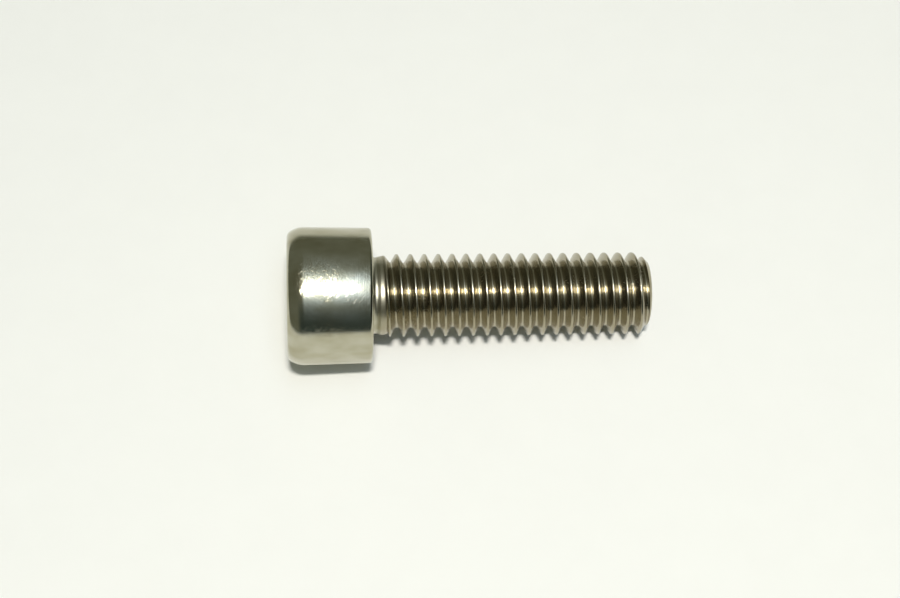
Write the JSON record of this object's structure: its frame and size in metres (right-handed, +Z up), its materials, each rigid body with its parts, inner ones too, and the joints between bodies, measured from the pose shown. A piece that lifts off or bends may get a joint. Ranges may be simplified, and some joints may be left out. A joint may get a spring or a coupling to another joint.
{
  "type": "hex socket cap screw",
  "caption": "Stainless cap screw with a plain round head, hex socket, short neck and right-hand metric thread, lying on its side.",
  "frame": {"origin": "centre of the bearing face under the head, on the screw's axis", "axes": "+X towards the tip, level; the screw's axis lies in the XZ plane and dips 5.7 degrees towards the tip, as the screw rests on its head's rim and its thread; +Z up"},
  "size_m": [0.0264, 0.0098, 0.0102],
  "materials": {
    "stainless_steel": "plain cold-formed stainless steel, bright with fine handling scratches"
  },
  "bodies": {
    "root": {"cap_screw": "stainless_steel"}
  },
  "joints": []
}
